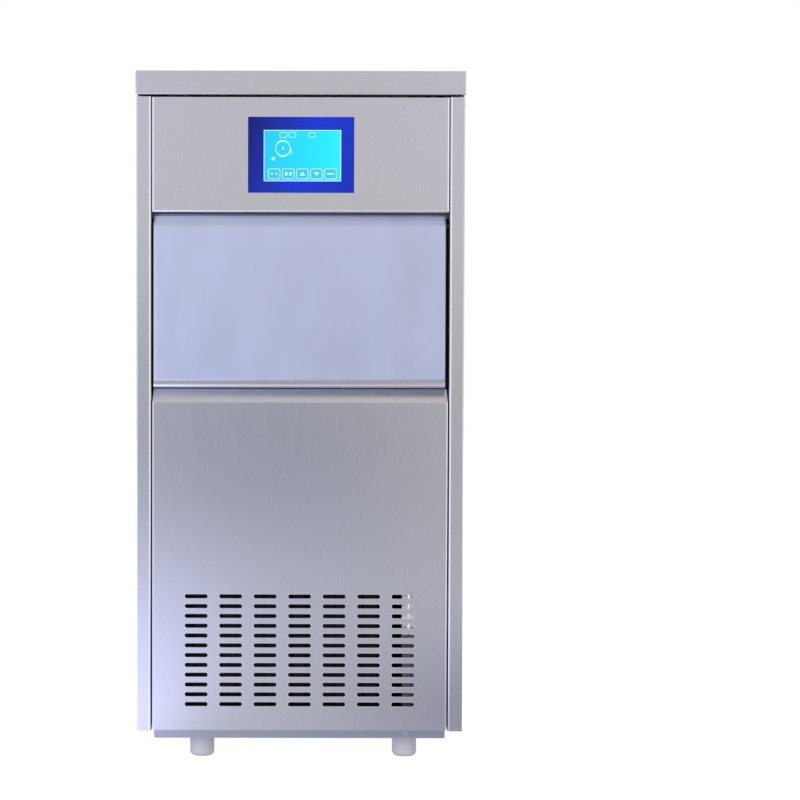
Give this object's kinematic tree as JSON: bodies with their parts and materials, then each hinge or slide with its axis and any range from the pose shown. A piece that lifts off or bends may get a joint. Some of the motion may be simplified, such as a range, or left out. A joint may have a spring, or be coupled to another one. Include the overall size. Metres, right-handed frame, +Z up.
{
  "type": "ice machine",
  "caption": "Stainless flake ice maker with a storage bin, a flip-up front door, a small screen above it and a slotted lower panel, on round glides.",
  "frame": {"origin": "centre of the footprint of the overall box, on the floor", "axes": "+Z up, the front with the door faces -Y, +X to the right of someone who looks at the front"},
  "size_m": [0.4, 0.52, 0.84],
  "materials": {
    "stainless": "brushed",
    "door_film": "brushed under a clear film",
    "galvanised": "matt zinc",
    "blue_plastic": "semi-gloss",
    "display": "lit screen",
    "white_plastic": "moulded",
    "grey_plastic": "moulded",
    "foot_plastic": "milky",
    "gasket_rubber": "soft",
    "foam": "foam",
    "cast_aluminium": "as cast",
    "steel": "machined",
    "copper": "drawn",
    "tube_plastic": "milky",
    "black_plastic": "moulded",
    "black_enamel": "satin",
    "board_green": "coated"
  },
  "bodies": {
    "cabinet": {"base_pan": "galvanised", "bin_gasket": "gasket_rubber", "bin_insulation": "foam", "bin_liner": "white_plastic", "bin_sensor": "white_plastic", "cable_gland": "black_plastic", "casing_screws": "steel", "circuit_board": "board_green", "compressor": "black_enamel", "compressor_grommets": "gasket_rubber", "condenser": "black_enamel", "control_box": "galvanised", "control_panel": "stainless", "discharge_pipe": "copper", "drain_outlet": "black_plastic", "drain_pipe": "tube_plastic", "drive_stand": "galvanised", "electrics_bracket": "galvanised", "evaporator_barrel": "steel", "evaporator_jacket": "foam", "expansion_pipe": "copper", "fan_motor": "cast_aluminium", "fan_shroud": "galvanised", "feed_pipe": "tube_plastic", "filter_drier": "copper", "front_cross_rail": "galvanised", "gear_motor": "cast_aluminium", "hinge_bush_left": "grey_plastic", "hinge_bush_right": "grey_plastic", "ice_head": "cast_aluminium", "ice_spout": "grey_plastic", "inlet_valve": "white_plastic", "lcd_module": "display", "left_side_panel": "stainless", "liquid_pipe": "copper", "lower_front_panel": "stainless", "machine_deck": "galvanised", "motor_stand": "galvanised", "rear_panel": "galvanised", "right_side_panel": "stainless", "screen_bezel": "blue_plastic", "suction_pipe": "copper", "supply_pipe": "tube_plastic", "tank_lid": "white_plastic", "terminal_block": "white_plastic", "top_cover": "stainless", "water_tank": "white_plastic"},
    "door": {"door_skin": "door_film", "door_liner": "white_plastic", "door_foam": "foam", "door_pivot_left": "grey_plastic", "door_pivot_right": "grey_plastic"},
    "auger": {"auger": "steel"},
    "fan": {"fan_blade": "black_plastic"},
    "float_arm": {"float_arm": "white_plastic"},
    "foot_front_left": {"foot_front_left": "foot_plastic"},
    "foot_front_right": {"foot_front_right": "foot_plastic"},
    "foot_rear_left": {"foot_rear_left": "foot_plastic"},
    "foot_rear_right": {"foot_rear_right": "foot_plastic"}
  },
  "joints": [
    {"name": "door_hinge", "type": "hinge", "parent": "cabinet", "child": "door", "pos_m": [0, -0.25, 0.6534], "axis": [-1, 0, 0], "range_deg": [0, 85]},
    {"name": "auger_spin", "type": "hinge", "parent": "cabinet", "child": "auger", "pos_m": [-0.07, 0.1656, 0.4], "axis": [0, 0, 1], "continuous": true},
    {"name": "fan_spin", "type": "hinge", "parent": "cabinet", "child": "fan", "pos_m": [-0.035, -0.18, 0.1227], "axis": [0, 1, 0], "continuous": true},
    {"name": "float_swing", "type": "hinge", "parent": "cabinet", "child": "float_arm", "pos_m": [0.032, 0.2, 0.5294], "axis": [0, -1, 0], "range_deg": [0, 20]},
    {"name": "foot_front_left_height", "type": "slide", "parent": "cabinet", "child": "foot_front_left", "axis": [0, 0, -1], "range_m": [0, 0.01]},
    {"name": "foot_front_right_height", "type": "slide", "parent": "cabinet", "child": "foot_front_right", "axis": [0, 0, -1], "range_m": [0, 0.01]},
    {"name": "foot_rear_left_height", "type": "slide", "parent": "cabinet", "child": "foot_rear_left", "axis": [0, 0, -1], "range_m": [0, 0.01]},
    {"name": "foot_rear_right_height", "type": "slide", "parent": "cabinet", "child": "foot_rear_right", "axis": [0, 0, -1], "range_m": [0, 0.01]}
  ]
}
